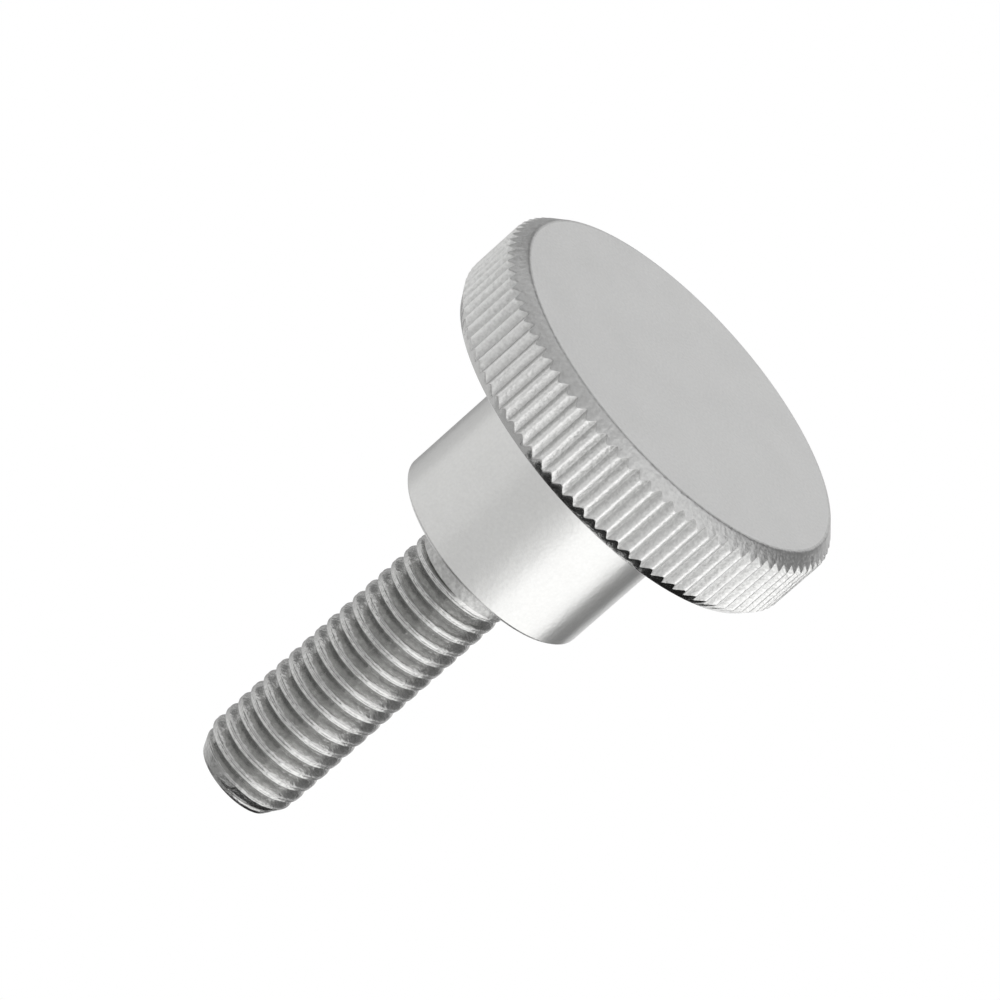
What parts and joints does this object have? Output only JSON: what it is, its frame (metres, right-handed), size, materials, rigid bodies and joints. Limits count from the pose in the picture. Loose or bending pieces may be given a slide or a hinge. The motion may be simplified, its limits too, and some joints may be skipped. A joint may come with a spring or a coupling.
{
  "type": "thumb screw",
  "caption": "Thumb screw with a high straight-knurled head, a round collar and a threaded shank, turned from stainless steel",
  "frame": {"origin": "centre of the flat face of the head, on which the screw stands", "axes": "+Z along the axis of the screw from the head to the tip of the thread, +X through a ridge of the knurl, +Y completes the right-handed set"},
  "size_m": [0.03, 0.03, 0.043],
  "materials": {
    "stainless_steel": "turned, with a blasted end face on the head"
  },
  "bodies": {
    "root": {"thumb_screw": "stainless_steel"}
  },
  "joints": []
}
